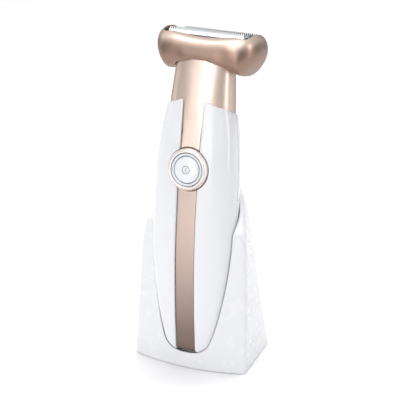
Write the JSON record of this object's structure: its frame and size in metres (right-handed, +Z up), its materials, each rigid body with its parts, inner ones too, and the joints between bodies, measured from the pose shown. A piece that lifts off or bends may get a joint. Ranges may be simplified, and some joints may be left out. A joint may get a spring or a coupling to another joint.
{
  "type": "lady shaver",
  "caption": "Leaning wet-and-dry lady shaver with a foil and trimmer head, standing in its wedge-shaped storage stand.",
  "frame": {"origin": "on the flat underside of the stand's anti-slip pad, midway between the flanks and between front corners and back", "axes": "+Z up; the back of the stand faces +Y, so the control side and the working edge's front face -Y; +X is to the right seen from the front"},
  "size_m": [0.0648, 0.0517, 0.1785],
  "materials": {
    "white_plastic": "glossy white moulded plastic with a slight cool cast",
    "rose_gold": "satin rose-gold metallic coat on moulded plastic",
    "clear_plastic": "translucent bluish-white light guide",
    "button_plastic": "glossy white button cap with a grey power symbol",
    "steel": "bright fine-brushed steel",
    "dark_steel": "dark ground blade steel",
    "rubber": "matte dark moulded rubber",
    "silicone": "matte pale silicone",
    "grey_plastic": "matte grey moulded plastic",
    "circuit_board": "green solder-resist board",
    "contact_metal": "plated spring brass",
    "cell_sleeve": "plain printed battery sleeve, no lettering",
    "copper": "enamelled copper winding on a laminated core"
  },
  "bodies": {
    "stand": {"stand_shell": "white_plastic", "stand_base_plate": "grey_plastic", "anti_slip_pad": "rubber", "stand_screw_1": "steel", "stand_screw_2": "steel", "stand_screw_3": "steel", "stand_screw_4": "steel"},
    "handle": {"front_cover": "white_plastic", "rear_cover": "white_plastic", "neck_housing": "rose_gold", "lower_strip": "rose_gold", "drive_seal": "rubber", "button_bezel": "rose_gold", "light_ring": "clear_plastic", "button_seal": "silicone", "circuit_board": "circuit_board", "tact_switch": "grey_plastic", "indicator_led_left": "clear_plastic", "indicator_led_right": "clear_plastic", "chassis": "grey_plastic", "chassis_screw_lower_left": "steel", "chassis_screw_upper_left": "steel", "chassis_screw_lower_right": "steel", "chassis_screw_upper_right": "steel", "battery_left": "cell_sleeve", "battery_right": "cell_sleeve", "contact_bridge": "contact_metal", "contact_spring_lower": "contact_metal", "contact_spring_upper": "contact_metal", "contact_plate_left": "contact_metal", "contact_plate_right": "contact_metal", "motor_can": "steel", "motor_end_cap": "grey_plastic"},
    "battery_cover": {"battery_cover": "white_plastic"},
    "power_button": {"power_button": "button_plastic"},
    "release_button": {"release_button": "rose_gold"},
    "rotor": {"motor_armature": "copper", "motor_shaft": "steel", "eccentric_cam": "grey_plastic"},
    "oscillator": {"drive_yoke": "grey_plastic", "drive_pin": "steel"},
    "head": {"head_frame": "rose_gold", "head_base": "grey_plastic", "foil_spring_left": "steel", "foil_spring_right": "steel"},
    "foil_unit": {"foil_cassette": "grey_plastic", "shaving_foil": "steel", "trimmer_comb_front": "steel", "trimmer_comb_rear": "steel"},
    "cutter": {"cutter_carrier": "grey_plastic", "inner_cutter": "steel", "trimmer_blade_front": "dark_steel", "trimmer_blade_rear": "dark_steel"}
  },
  "joints": [
    {"name": "handle_lift", "type": "slide", "parent": "stand", "child": "handle", "axis": [0, 0.1305, 0.9914], "range_m": [0, 0.12]},
    {"name": "battery_cover_slide", "type": "slide", "parent": "handle", "child": "battery_cover", "axis": [0, -0.1305, -0.9914], "range_m": [0, 0.003]},
    {"name": "power_press", "type": "slide", "parent": "handle", "child": "power_button", "axis": [0, 0.9799, -0.1994], "range_m": [0, 0.0008], "stiffness_N_per_m": 300, "springref_m": -0.0005},
    {"name": "release_press", "type": "slide", "parent": "handle", "child": "release_button", "axis": [0, -0.9914, 0.1305], "range_m": [0, 0.0012], "stiffness_N_per_m": 300, "springref_m": -0.0005},
    {"name": "motor_spin", "type": "hinge", "parent": "handle", "child": "rotor", "pos_m": [0, -0.00125, 0.13638], "axis": [0, 0.1305, 0.9914], "continuous": true},
    {"name": "drive_stroke", "type": "slide", "parent": "handle", "child": "oscillator", "axis": [1, 0, 0], "range_m": [-0.0012, 0.0012]},
    {"name": "head_lift", "type": "slide", "parent": "handle", "child": "head", "axis": [0, 0.1305, 0.9914], "range_m": [0, 0.03]},
    {"name": "foil_float", "type": "slide", "parent": "head", "child": "foil_unit", "axis": [0, 0.2164, 0.9763], "range_m": [-0.0015, 0], "stiffness_N_per_m": 500, "springref_m": 0.002, "deforming": ["foil_spring_left", "foil_spring_right"]},
    {"name": "cutter_stroke", "type": "slide", "parent": "foil_unit", "child": "cutter", "axis": [1, 0, 0], "range_m": [-0.0012, 0.0012]}
  ],
  "couplings": [
    {"joint": "cutter_stroke", "follows": "drive_stroke", "ratio": 1}
  ]
}
